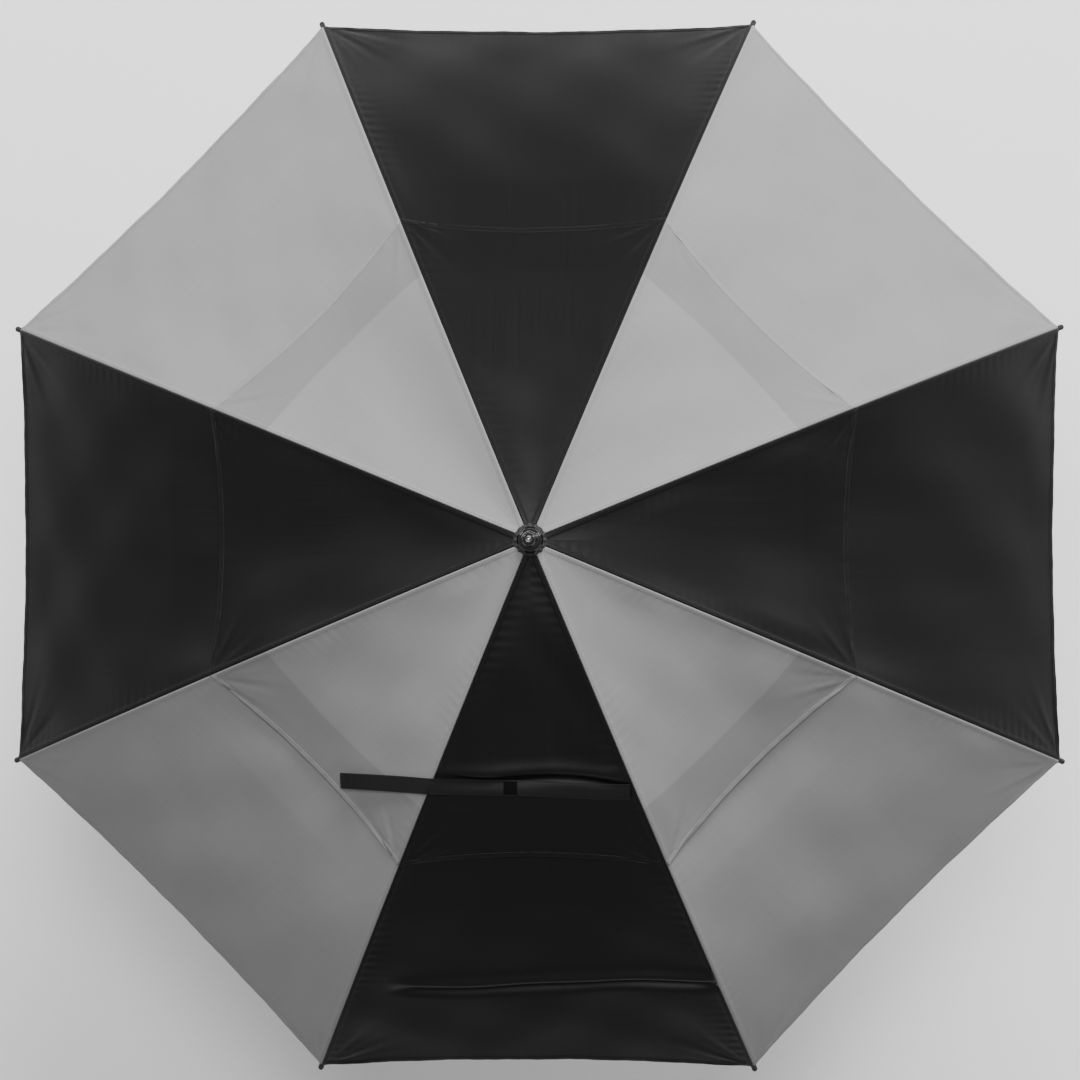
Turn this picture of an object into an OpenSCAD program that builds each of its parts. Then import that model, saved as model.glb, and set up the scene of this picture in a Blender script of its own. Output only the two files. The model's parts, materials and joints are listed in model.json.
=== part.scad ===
// Golf umbrella with eight ribs and a vented double canopy, standing on its handle, open.
// Frame: Z runs up the shaft, and the origin is the middle of the handle's flat butt.

/* [Canopy] */
// Number of ribs, and of gores between them
ribs = 8; // [6:1:10]
// Length of a rib's curve, from its hinge to its tip
rib_length = 740; // [600:5:780]
// Rod diameter of a rib
rib_d = 4.5; // [3.5:0.1:5.5]
// Slope of a rib below the horizontal where it leaves the crown
crown_slope = 8; // [4:1:12]
// How much further down the rib's arc turns before its tip
arc_turn = 36; // [28:1:40]
// Where the upper canopy's hem lies, along the rib
upper_hem = 398; // [340:1:440]
// Where the lower canopy begins, along the rib
lower_start = 318; // [260:1:330]
// Cloth thickness
cloth = 0.7; // [0.5:0.1:1]
// How far a hem is cut in between two ribs
scallop = 14; // [0:1:30]

/* [Shaft] */
// Outer diameter of the shaft tube
shaft_d = 14; // [12:0.5:16]
// Wall of the shaft tube
shaft_wall = 1.5; // [1:0.1:2]
// Height of the rib hinges above the butt
crown_z = 930; // [900:1:960]

/* [Stretchers] */
// Distance along the rib to the stretcher's pivot
pivot_along = 300; // [260:1:320]
// Length of a stretcher between its pins
stretcher_length = 400; // [380:1:410]

/* [Handle] */
// Diameter of the foam grip
grip_d = 34; // [30:0.5:38]
// Height of the handle's top edge
handle_top = 184; // [150:1:184]

/* [Hidden] */
$fn = 48;
step_angle = 360 / ribs;
half_angle = step_angle / 2;
shaft_r = shaft_d / 2;
notch_ring_r = 11;
runner_ring_r = 15;
wire_d = 1.2;
arc_r = rib_length / (arc_turn * PI / 180);
first_rib = half_angle;
shaft_bottom = 10;
shaft_top = crown_z + 31;
running_gap = 0.1;
slip_gap = 0.05;

// Angle along the rib's arc for a curve length s
function turn_at(s) = s / arc_r * 180 / PI;
// Radius and height of a rib's centreline at curve length s, measured from its hinge
function rib_out(s) = arc_r * (sin(crown_slope + turn_at(s)) - sin(crown_slope));
function rib_drop(s) = arc_r * (cos(crown_slope) - cos(crown_slope + turn_at(s)));
function rib_r(s) = notch_ring_r + rib_out(s);
function rib_z(s) = crown_z - rib_drop(s);

// The stretcher's pivot hangs under the rib
ear_drop = 6.5;
pivot_slope = crown_slope + turn_at(pivot_along);
pivot_r = rib_r(pivot_along) - ear_drop * sin(pivot_slope);
pivot_z = rib_z(pivot_along) - ear_drop * cos(pivot_slope);
stretcher_lean = asin((pivot_r - runner_ring_r) / stretcher_length);
runner_z = pivot_z - stretcher_length * cos(stretcher_lean);

eye_t = 2.6;
slot_w = 3.2;
notch_hub_r = 14;
runner_hub_r = 18;
runner_bore_r = shaft_r + running_gap;
runner_tail = 46;
pin_d = 2;
pin_gap = 0.1;

rib_ids = [for (i = [1:ribs]) i];

// ---------- helpers ----------

// Turns a profile drawn in the plane of rib i round to that rib
module at_rib(i) {
    rotate([0, 0, first_rib + (i - 1) * step_angle]) children();
}

// A piece swept along the rib's arc, with its 2D section centred on the rib's centreline
module along_rib(from, to) {
    centre_r = notch_ring_r - arc_r * sin(crown_slope);
    centre_z = crown_z - arc_r * cos(crown_slope);
    start = crown_slope + turn_at(from);
    sweep = turn_at(to) - turn_at(from);
    translate([centre_r, 0, centre_z])
        rotate([90, 0, 0])
            rotate([0, 0, 90 - start - sweep])
                rotate_extrude(angle = sweep, $fn = 360)
                    translate([arc_r, 0])
                        children();
}

// Moves a piece drawn at the origin, pointing along +X, to curve length s on the rib
module on_rib(s, below = 0) {
    translate([rib_r(s), 0, rib_z(s)])
        rotate([0, crown_slope + turn_at(s), 0])
            translate([0, 0, -below])
                children();
}

// A ring of round wire in the XY plane
module wire_ring(r, d) {
    rotate_extrude($fn = 96) translate([r, 0]) circle(d = d, $fn = 24);
}

// A flat plate across Y, with thickness t
module plate(t) {
    rotate([90, 0, 0]) linear_extrude(height = t, center = true) children();
}

// ---------- shaft and crown ----------

catch_len = 24;
catch_gap = 0.6;
top_catch_z = runner_z - runner_tail - catch_gap - catch_len;
bottom_catch_z = handle_top + 28;
catch_w = 3;
catch_pin_x = 3;
catch_window = 3.6;
window_start = 4;
window_spare = 1.5;
fit_gap = 0.02;
through = 200;

// Window in the tube for a catch whose pin is at height z and which reaches up or down by its length
module catch_slot(z, up) {
    low = up ? z + window_start : z - catch_len - window_spare;
    translate([0, -catch_window / 2, low])
        cube([shaft_d, catch_window, catch_len - window_start + window_spare]);
    translate([catch_pin_x, 0, z]) rotate([90, 0, 0])
        cylinder(d = pin_d + 2 * fit_gap, h = 2 * shaft_d, center = true);
}

// The hollow fibreglass tube that everything slides on
module shaft() {
    color("dimgray") difference() {
        translate([0, 0, shaft_bottom]) cylinder(r = shaft_r, h = shaft_top - shaft_bottom);
        cylinder(r = shaft_r - shaft_wall, h = 2 * shaft_top);
        catch_slot(top_catch_z, true);
        catch_slot(bottom_catch_z + catch_len, false);
        rivet_hole();
    }
}

rivet_r = 1;
rivet_z = crown_z + 2;

module rivet_hole() {
    translate([0, 0, rivet_z]) rotate([90, 0, 0]) cylinder(r = rivet_r + fit_gap, h = through, center = true);
}

// Rivet that fixes the notch to the shaft
module notch_rivet() {
    color("silver") translate([0, 0, rivet_z]) rotate([90, 0, 0])
        cylinder(r = rivet_r, h = 2 * notch_hub_r - 0.4, center = true);
}

ferrule_bottom = crown_z + 6.6;
ferrule_top = crown_z + 62;
ferrule_base_r = 9;
ferrule_tip_r = 7;
ferrule_bore_top = shaft_top + 0.4;
ferrule_nose = 6;
ferrule_bead = 0.7;
waist_z = crown_z + 22;

// Plastic spike over the shaft's end, turned with a rounded nose and two grooves
module ferrule() {
    nose_z = ferrule_top - ferrule_nose;
    bead_r = ferrule_tip_r + ferrule_bead;
    color("black") difference() {
        rotate_extrude($fn = 96) polygon(concat(
            [[0, ferrule_bottom], [ferrule_base_r, ferrule_bottom], [ferrule_base_r, waist_z],
             [ferrule_base_r - 1, waist_z + 2], [ferrule_base_r - 1, waist_z + 5],
             [ferrule_base_r - 0.4, waist_z + 6], [ferrule_tip_r, nose_z - 6], [bead_r, nose_z - 3]],
            [for (a = [0:15:75]) [bead_r * cos(a), nose_z + ferrule_nose * sin(a)]],
            [[0, ferrule_top]]));
        cylinder(r = shaft_r + slip_gap, h = ferrule_bore_top);
    }
}

cap_r = 14.5;
cap_bottom = crown_z + 6.7;
cap_h = 11;
cap_rim = 2;
cap_wall = 1.6;

// Domed cap that presses the canopy's centre down on the notch
module crown_cap() {
    color("black") difference() {
        rotate_extrude($fn = 96) polygon(concat(
            [[0, cap_bottom], [cap_r, cap_bottom], [cap_r, cap_bottom + cap_rim]],
            [for (a = [15:15:75]) [ferrule_base_r + (cap_r - ferrule_base_r) * cos(a),
                                   cap_bottom + cap_rim + (cap_h - cap_rim) * sin(a)]],
            [[0, cap_bottom + cap_h]]));
        cylinder(r = ferrule_base_r + running_gap, h = 2 * crown_z);
        // hollow under the dome
        cylinder(r = cap_r - cap_wall, h = cap_bottom + cap_rim);
    }
}

rosette_r = 19.5;
rosette_lobes = 16;
lobe_r = 2.2;
rosette_t = 1.2;
rosette_z = crown_z + 5.3;

// Scalloped washer between the cap and the cloth
module crown_rosette() {
    color("black") difference() {
        translate([0, 0, rosette_z]) linear_extrude(height = rosette_t) union() {
            circle(r = rosette_r - lobe_r / 2, $fn = 96);
            for (k = [0:rosette_lobes - 1])
                rotate([0, 0, k * 360 / rosette_lobes])
                    translate([rosette_r - lobe_r, 0]) circle(r = lobe_r, $fn = 24);
        }
        cylinder(r = shaft_r + running_gap, h = 2 * crown_z);
    }
}

notch_low = crown_z - 5;
notch_h = 10;
notch_slot_r = 8.6;
wire_gap = 0.05;

// Slots for the rib heads or the stretcher eyes, open outwards
module slots(inner_r, z, h) {
    for (i = rib_ids) at_rib(i) translate([inner_r, -slot_w / 2, z]) cube([through, slot_w, h]);
}

// Slotted hub that the ribs hinge in
module top_notch() {
    color("black") difference() {
        translate([0, 0, notch_low]) cylinder(r = notch_hub_r, h = notch_h);
        cylinder(r = shaft_r + fit_gap, h = 2 * crown_z);
        slots(notch_slot_r, notch_low - 1, notch_h + 2);
        translate([0, 0, crown_z]) wire_ring(notch_ring_r, wire_d + 2 * wire_gap);
        rivet_hole();
    }
}

module notch_wire() {
    color("silver") translate([0, 0, crown_z]) wire_ring(notch_ring_r, wire_d);
}

stop_above = 7;
stop_h = 6;
stop_wall = 2.2;

// Ring on the shaft that the open runner comes up against
module runner_stop() {
    color("black") translate([0, 0, runner_z + stop_above]) difference() {
        cylinder(r = shaft_r + stop_wall, h = stop_h);
        cylinder(r = shaft_r + fit_gap, h = through, center = true);
    }
}

// ---------- catches ----------

leaf_back = 2;
leaf_front = 4.6;
ramp_start = 6;
tooth_x = 9.4;
tooth_h = 3;
boss_r = 2.2;

// Leaf of a catch with its pin at the origin, reaching up by catch_len, with a ramp and a flat tooth
module catch_leaf() {
    difference() {
        union() {
            plate(catch_w) polygon([[leaf_back, 0], [leaf_front, 0], [leaf_front, ramp_start],
                                    [shaft_r, ramp_start + 2], [tooth_x, catch_len - tooth_h],
                                    [tooth_x, catch_len], [leaf_back, catch_len]]);
            translate([catch_pin_x, 0, 0]) rotate([90, 0, 0])
                cylinder(r = boss_r, h = catch_w, center = true);
        }
        translate([catch_pin_x, 0, 0]) rotate([90, 0, 0])
            cylinder(d = pin_d + 2 * pin_gap, h = 2 * catch_w, center = true);
    }
}

// Holds the runner up when the umbrella is open
module top_catch() {
    color("silver") translate([0, 0, top_catch_z]) catch_leaf();
}

// Holds the runner down when the umbrella is shut
module bottom_catch() {
    color("silver") translate([0, 0, bottom_catch_z + catch_len]) mirror([0, 0, 1]) catch_leaf();
}

// Long enough to cross the tube's wall, and short enough that its ends stay flush with the tube
catch_pin_len = 2 * sqrt(pow(shaft_r, 2) - pow(catch_pin_x + pin_d / 2, 2));

module catch_pins() {
    color("silver") for (z = [top_catch_z, bottom_catch_z + catch_len])
        translate([catch_pin_x, 0, z]) rotate([90, 0, 0])
            cylinder(d = pin_d, h = catch_pin_len, center = true);
}

// ---------- handle ----------

core_r = 12;
end_gap = 0.1;
grip_shoulder_r = grip_d / 2 - 0.6;
cap_h_butt = 8;
grip_top = 170;

// Cylinder between the end cap and the collar
module handle_tube(r) {
    translate([0, 0, cap_h_butt + end_gap]) cylinder(r = r, h = grip_top - cap_h_butt - 2 * end_gap);
}

// Tube that joins the foam to the shaft
module handle_core() {
    color("dimgray") difference() {
        handle_tube(core_r);
        cylinder(r = shaft_r + fit_gap, h = handle_top);
    }
}

// Foam sleeve that the hand holds
module handle_grip() {
    color("black") difference() {
        handle_tube(grip_d / 2);
        cylinder(r = core_r + fit_gap, h = handle_top);
    }
}

// Tapered ring that closes the handle's top
module handle_collar() {
    top_r = shaft_r + 3;
    color("black") difference() {
        rotate_extrude($fn = 96) polygon([[0, grip_top], [grip_shoulder_r, grip_top],
            [grip_shoulder_r, grip_top + 3], [grip_shoulder_r - 1.5, grip_top + 5],
            [top_r + 1, handle_top - 1], [top_r, handle_top], [0, handle_top]]);
        cylinder(r = shaft_r + slip_gap, h = 2 * handle_top);
    }
}

butt_face_r = 14;
spigot_len = 16;

// End cap with the flat butt that the handle stands on, and a spigot inside the shaft
module handle_end_cap() {
    edge = grip_shoulder_r - butt_face_r;
    spigot_r = shaft_r - shaft_wall - slip_gap;
    color("black") rotate_extrude($fn = 96) polygon(concat(
        [[0, 0], [butt_face_r, 0]],
        [for (a = [15:15:90]) [butt_face_r + edge * sin(a), edge * (1 - cos(a))]],
        [[grip_shoulder_r, cap_h_butt], [spigot_r, cap_h_butt],
         [spigot_r, cap_h_butt + spigot_len], [0, cap_h_butt + spigot_len]]));
}

// ---------- runner ----------

runner_sleeve_r = 11.6;
runner_flange_r = 13.4;
runner_bead_r = 13;
runner_bead_z = -18;
runner_hub_low = -6;
runner_hub_top = 5;
runner_slot_r = 11.4;
runner_slot_low = -3.4;
keyway_r = 10.2;
keyway_w = 4.6;
window_z = -33;
window_h = 12;

// Slider with a slotted hub above and a ringed sleeve to hold below
module runner() {
    color("black") translate([0, 0, runner_z]) difference() {
        rotate_extrude($fn = 96) polygon([
            [0, -runner_tail], [runner_flange_r - 1, -runner_tail], [runner_flange_r, 1 - runner_tail],
            [runner_flange_r, 3 - runner_tail], [runner_sleeve_r, 5 - runner_tail],
            [runner_sleeve_r, runner_bead_z - 2], [runner_bead_r, runner_bead_z],
            [runner_bead_r, runner_bead_z + 2], [runner_sleeve_r, runner_bead_z + 4],
            [runner_sleeve_r, runner_hub_low - 5], [runner_hub_r - 1, runner_hub_low],
            [runner_hub_r, runner_hub_low + 1], [runner_hub_r, runner_hub_top], [0, runner_hub_top]]);
        cylinder(r = runner_bore_r, h = through, center = true);
        slots(runner_slot_r, runner_slot_low, through);
        wire_ring(runner_ring_r, wire_d + 2 * wire_gap);
        // keyway that the catches run in, and the window that the lower catch looks through
        translate([0, -keyway_w / 2, -through / 2]) cube([keyway_r, keyway_w, through]);
        translate([0, -keyway_w / 2, window_z]) cube([through, keyway_w, window_h]);
    }
}

module runner_wire() {
    color("silver") translate([0, 0, runner_z]) wire_ring(runner_ring_r, wire_d);
}

// ---------- ribs ----------

rod_start = 11;
tip_bore = 9;
eye_r = 1.9;
eye_gap = 0.2;

// Fibreglass rod with a flat metal eye at its hinge end
module rib(i) {
    color("dimgray") at_rib(i) {
        difference() {
            union() {
                along_rib(rod_start, rib_length) circle(d = rib_d, $fn = 24);
                on_rib(0) plate(eye_t) hull() {
                    circle(r = eye_r, $fn = 32);
                    translate([rod_start + 2, 0.1]) square([0.5, rib_d - 1], center = true);
                }
            }
            translate([notch_ring_r, 0, crown_z]) rotate([90, 0, 0])
                cylinder(d = wire_d + 2 * eye_gap, h = 2 * eye_t, center = true);
        }
    }
}

tip_r = 3.3;
ball_out = 2.4;

// Rounded cap on the rib's end, which the canopy's corner is sewn to
module rib_tip(i) {
    color("black") at_rib(i) on_rib(rib_length) difference() {
        union() {
            translate([-tip_bore, 0, 0]) rotate([0, 90, 0]) cylinder(r = tip_r - 0.3, h = tip_bore + 2);
            sphere(r = tip_r);
            translate([ball_out, 0, 0]) sphere(r = tip_r + 0.2);
        }
        translate([-tip_bore - 1, 0, 0]) rotate([0, 90, 0])
            cylinder(r = rib_d / 2 + running_gap, h = tip_bore + 1);
    }
}

bracket_half = 11;
bracket_r = 3.6;
ear_t = 3.6;
ear_r = 2.6;
pin_len = 7.6;
pin_head_d = 3.4;
pin_head_t = 0.7;

// Sleeve on the rib with an ear for the stretcher's pin, and the pin
module rib_bracket(i) {
    color("black") at_rib(i) {
        difference() {
            union() {
                along_rib(pivot_along - bracket_half, pivot_along + bracket_half)
                    circle(r = bracket_r, $fn = 32);
                on_rib(pivot_along, ear_drop) plate(ear_t) {
                    circle(r = ear_r, $fn = 32);
                    translate([-ear_r, 0]) square([2 * ear_r, ear_drop - bracket_r + 0.8]);
                }
            }
            along_rib(pivot_along - 2 * bracket_half, pivot_along + 2 * bracket_half)
                circle(d = rib_d + 2 * fit_gap, $fn = 24);
            on_rib(pivot_along, ear_drop) rotate([90, 0, 0])
                cylinder(d = pin_d + fit_gap, h = 2 * pin_len, center = true);
        }
        on_rib(pivot_along, ear_drop) rotate([90, 0, 0]) {
            cylinder(d = pin_d, h = pin_len, center = true);
            for (side = [-1, 1]) translate([0, 0, side * (pin_len + pin_head_t) / 2])
                cylinder(d = pin_head_d, h = pin_head_t, center = true);
        }
    }
}

fork_gap = 4.1;
cheek_t = 1.4;
fork_reach = 15;
cheek_r = 2.4;
cheek_h = 4.4;
fork_web = 4;
stretcher_d = 4;
stretcher_eye_r = 1.8;
eye_neck = 12;

// Strut from the runner to the rib: fork, rod and flat eye, drawn from its rib pin towards -X
module stretcher(i) {
    slope = 90 - stretcher_lean;
    color("dimgray") at_rib(i) translate([pivot_r, 0, pivot_z]) rotate([0, -slope, 0]) difference() {
        union() {
            for (side = [-1, 1])
                translate([0, side * (fork_gap + cheek_t) / 2, 0]) plate(cheek_t) {
                    circle(r = cheek_r, $fn = 32);
                    translate([-fork_reach, -cheek_h / 2]) square([fork_reach, cheek_h]);
                }
            translate([-fork_reach, -(fork_gap / 2 + cheek_t), -cheek_h / 2])
                cube([fork_web, fork_gap + 2 * cheek_t, cheek_h]);
            translate([eye_neck - 2 - stretcher_length, 0, 0]) rotate([0, 90, 0])
                cylinder(d = stretcher_d, h = stretcher_length - eye_neck + 3 - fork_reach);
            translate([-stretcher_length, 0, 0]) plate(eye_t) {
                circle(r = stretcher_eye_r, $fn = 32);
                translate([0, 0.2 - stretcher_eye_r]) square([eye_neck, 2 * stretcher_eye_r - 0.4]);
            }
        }
        rotate([90, 0, 0]) cylinder(d = pin_d + 2 * pin_gap, h = through, center = true);
        translate([-stretcher_length, 0, 0]) rotate([90, 0, 0])
            cylinder(d = wire_d + 2 * eye_gap, h = through, center = true);
    }
}

// ---------- canopy ----------

row_length = 25;
cloth_columns = 6;
seam_gap = 0.3;
lower_lift = rib_d / 2 + 1.5;
upper_lift = lower_lift + cloth + 0.5;
cloth_start = 5;
sag = 14;
vent_gap = 9;
vent_reach = 140;

// How far the cloth dips between two ribs, at curve length s
function dip(s) = sag * sin(180 * s / rib_length);
// The lower cloth hangs further down under the upper one's hem, and joins it at the ribs
function vent_dip(s) = vent_gap * max(0, 1 - (s - lower_start) / vent_reach);

// A point of a gore's cloth, at curve length s and across v from -1 to 1, lifted off the ribs
function cloth_point(s, v, lift, extra) =
    let (slope = crown_slope + turn_at(s),
         r = rib_r(s) + lift * sin(slope),
         across = r * sin(half_angle) - seam_gap / 2,
         z = rib_z(s) + lift * cos(slope) - (dip(s) + extra) * (1 - v * v))
    [r * cos(half_angle), across * v, z];

// Curve length that a row of cloth reaches, with the hem cut in between the ribs
function row_s(t, from, to, v) = from + (to - from) * t - t * scallop * (1 - v * v);

// Closed sheet of cloth for one gore
module cloth_sheet(from, to, lift, vented) {
    rows = ceil((to - from) / row_length);
    cols = cloth_columns;
    top = [for (a = [0:rows]) for (b = [0:cols])
        let (v = 2 * b / cols - 1, s = row_s(a / rows, from, to, v))
        cloth_point(s, v, lift + cloth, vented ? vent_dip(s) : 0)];
    under = [for (a = [0:rows]) for (b = [0:cols])
        let (v = 2 * b / cols - 1, s = row_s(a / rows, from, to, v))
        cloth_point(s, v, lift, vented ? vent_dip(s) : 0)];
    n = len(top);
    w = cols + 1;
    polyhedron(points = concat(top, under), faces = concat(
        [for (a = [0:rows - 1]) for (b = [0:cols - 1]) let (p = a * w + b) [p, p + 1, p + w + 1, p + w]],
        [for (a = [0:rows - 1]) for (b = [0:cols - 1]) let (p = n + a * w + b) [p, p + w, p + w + 1, p + 1]],
        [for (a = [0:rows - 1]) let (p = a * w) [p, p + w, n + p + w, n + p]],
        [for (a = [0:rows - 1]) let (p = a * w + cols) [p + w, p, n + p, n + p + w]],
        [for (b = [0:cols - 1]) [b + 1, b, n + b, n + b + 1]],
        [for (b = [0:cols - 1]) let (p = rows * w + b) [p, p + 1, n + p + 1, n + p]]));
}

hem_margin = 8;

// One gore: its upper and its lower cloth
module gore(i) {
    color(i % 2 == 1 ? "black" : "darkgray") rotate([0, 0, (i - 1) * step_angle]) {
        cloth_sheet(cloth_start, upper_hem, upper_lift, false);
        cloth_sheet(lower_start, rib_length - hem_margin, lower_lift, true);
    }
}

// ---------- strap ----------

strap_w = 18;
strap_y = -276;
strap_from = 108;
strap_to = -214;
strap_t = 1;
strap_steps = 40;
strap_angle = 1.4;
strap_clear = 1.5;
strap_rise = 8;

// Curve length where the straight chord between two ribs is at distance x along the gore's middle
function s_of(x) = (asin((x / cos(half_angle) - notch_ring_r) / arc_r + sin(crown_slope)) - crown_slope)
    * PI / 180 * arc_r;
// Height of the upper cloth's top over a point given along and across a gore
function cloth_z(x, y) = let (s = s_of(x), v = y / (x * tan(half_angle)), slope = crown_slope + turn_at(s))
    rib_z(s) + (upper_lift + cloth) / cos(slope) - dip(s) * (1 - v * v);
// The same over any point, from the gore that it is in
function canopy_z(x, y) = let (k = round(atan2(y, x) / step_angle) * step_angle)
    cloth_z(x * cos(k) + y * sin(k), -x * sin(k) + y * cos(k));

// A point on the strap: t runs along it and w across, both 0 to 1
function strap_x(t) = strap_from + (strap_to - strap_from) * t;
function strap_line(t, w) =
    let (x = strap_x(t), y = strap_y + (strap_from - x) * tan(strap_angle) + (w - 0.5) * strap_w)
    [x, y, canopy_z(x, y) + strap_clear + strap_rise * pow(t, 3)];

// Flat tie that is sewn in at a rib seam and lies across the canopy
module closure_strap() {
    top = [for (a = [0:strap_steps]) for (w = [0, 1]) strap_line(a / strap_steps, w) + [0, 0, strap_t]];
    under = [for (a = [0:strap_steps]) for (w = [0, 1]) strap_line(a / strap_steps, w)];
    n = len(top);
    color("black") polyhedron(points = concat(top, under), faces = concat(
        [for (a = [0:strap_steps - 1]) let (p = 2 * a) [p, p + 1, p + 3, p + 2]],
        [for (a = [0:strap_steps - 1]) let (p = n + 2 * a) [p, p + 2, p + 3, p + 1]],
        [for (a = [0:strap_steps - 1]) let (p = 2 * a) [p, p + 2, n + p + 2, n + p]],
        [for (a = [0:strap_steps - 1]) let (p = 2 * a + 1) [p + 2, p, n + p, n + p + 2]],
        [[1, 0, n, n + 1], [n - 2, n - 1, 2 * n - 1, 2 * n - 2]]));
}

patch_at = 0.41;
patch_size = 15;
patch_t = 1.2;
patch_low = strap_t + 0.2;

// Hook-and-loop square sewn on the strap
module strap_patch() {
    half_t = patch_size / 2 / (strap_from - strap_to);
    half_w = patch_size / 2 / strap_w;
    corners = [for (t = [-1, 1]) for (w = [-1, 1]) strap_line(patch_at + t * half_t, 0.5 + w * half_w)];
    color("black") polyhedron(
        points = [for (h = [patch_low + patch_t, patch_low]) for (p = corners) p + [0, 0, h]],
        faces = [[0, 1, 3, 2], [4, 6, 7, 5], [0, 4, 5, 1], [1, 5, 7, 3], [3, 7, 6, 2], [2, 6, 4, 0]]);
}

// ---------- drawing ----------

shaft();
ferrule();
crown_cap();
crown_rosette();
top_notch();
notch_wire();
notch_rivet();
runner_stop();
catch_pins();
handle_core();
handle_grip();
handle_collar();
handle_end_cap();
runner();
runner_wire();
top_catch();
bottom_catch();
for (i = rib_ids) {
    rib(i);
    rib_tip(i);
    rib_bracket(i);
    stretcher(i);
    gore(i);
}
closure_strap();
strap_patch();
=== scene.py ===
import json

import bmesh
import bpy
import numpy as np
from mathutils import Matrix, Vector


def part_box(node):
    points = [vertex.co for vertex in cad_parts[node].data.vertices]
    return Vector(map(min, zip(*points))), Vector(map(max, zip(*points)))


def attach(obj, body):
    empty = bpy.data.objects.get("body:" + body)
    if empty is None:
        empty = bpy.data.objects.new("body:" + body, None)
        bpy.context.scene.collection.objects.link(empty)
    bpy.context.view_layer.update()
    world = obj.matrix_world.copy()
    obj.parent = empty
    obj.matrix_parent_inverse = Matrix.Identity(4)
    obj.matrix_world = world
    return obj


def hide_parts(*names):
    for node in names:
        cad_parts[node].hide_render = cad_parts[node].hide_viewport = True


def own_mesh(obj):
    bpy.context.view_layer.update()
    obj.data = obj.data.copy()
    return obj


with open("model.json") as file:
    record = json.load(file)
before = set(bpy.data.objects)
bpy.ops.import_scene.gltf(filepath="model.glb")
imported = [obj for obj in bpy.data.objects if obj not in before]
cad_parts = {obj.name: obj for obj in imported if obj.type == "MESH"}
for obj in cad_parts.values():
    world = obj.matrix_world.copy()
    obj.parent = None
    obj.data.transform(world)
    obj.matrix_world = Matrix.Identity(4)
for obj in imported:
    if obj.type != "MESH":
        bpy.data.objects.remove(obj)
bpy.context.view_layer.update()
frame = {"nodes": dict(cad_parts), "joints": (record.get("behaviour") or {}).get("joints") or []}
nodes = frame["nodes"]

# ---------------------------------------------------------------------------------------------
# Shaft: a black lacquered fibreglass tube with two slots for the spring catches, and the moulded
# ring that the runner comes up against.


def named_joint(name):
    return next(j for j in frame["joints"] if j["name"] == name)


def socket_in(group, name, kind, value=None):
    """Adds an input to a node group, with the value it has until it is set."""
    made = group.interface.new_socket(name, in_out="INPUT", socket_type=kind)
    if value is not None:
        made.default_value = value


def start_group(name):
    """An empty node group, with its input and output nodes."""
    group = bpy.data.node_groups.new(name, "ShaderNodeTree")
    return group, group.nodes.new("NodeGroupInput"), group.nodes.new("NodeGroupOutput")


def math_node(tree, operation, a, b=0.5, clamp=False):
    """A Math node: its two values are sockets or numbers."""
    node = tree.nodes.new("ShaderNodeMath")
    node.operation, node.use_clamp = operation, clamp
    for k, value in enumerate((a, b)):
        if isinstance(value, (int, float)):
            node.inputs[k].default_value = value
        else:
            tree.links.new(value, node.inputs[k])
    return node.outputs[0]


def mix_colour(tree, factor, a, b, blend="MIX"):
    """A Mix node for two colours, which are sockets or tuples."""
    node = tree.nodes.new("ShaderNodeMix")
    node.data_type, node.blend_type = "RGBA", blend
    for k, value in ((0, factor), (6, a), (7, b)):
        if isinstance(value, (int, float)):
            node.inputs[k].default_value = value
        elif isinstance(value, tuple):
            node.inputs[k].default_value = (*value, 1)
        else:
            tree.links.new(value, node.inputs[k])
    return node.outputs[2]


def stretched_noise(tree, vector, scale, stretch=(1, 1, 1), detail=3.0):
    """Noise in space that is drawn out along an axis: each coordinate is first multiplied by stretch."""
    mapping = tree.nodes.new("ShaderNodeMapping")
    mapping.inputs["Scale"].default_value = stretch
    noise = tree.nodes.new("ShaderNodeTexNoise")
    noise.inputs["Scale"].default_value = scale
    noise.inputs["Detail"].default_value = detail
    tree.links.new(vector, mapping.inputs["Vector"])
    tree.links.new(mapping.outputs[0], noise.inputs["Vector"])
    return noise.outputs["Fac"]


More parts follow.
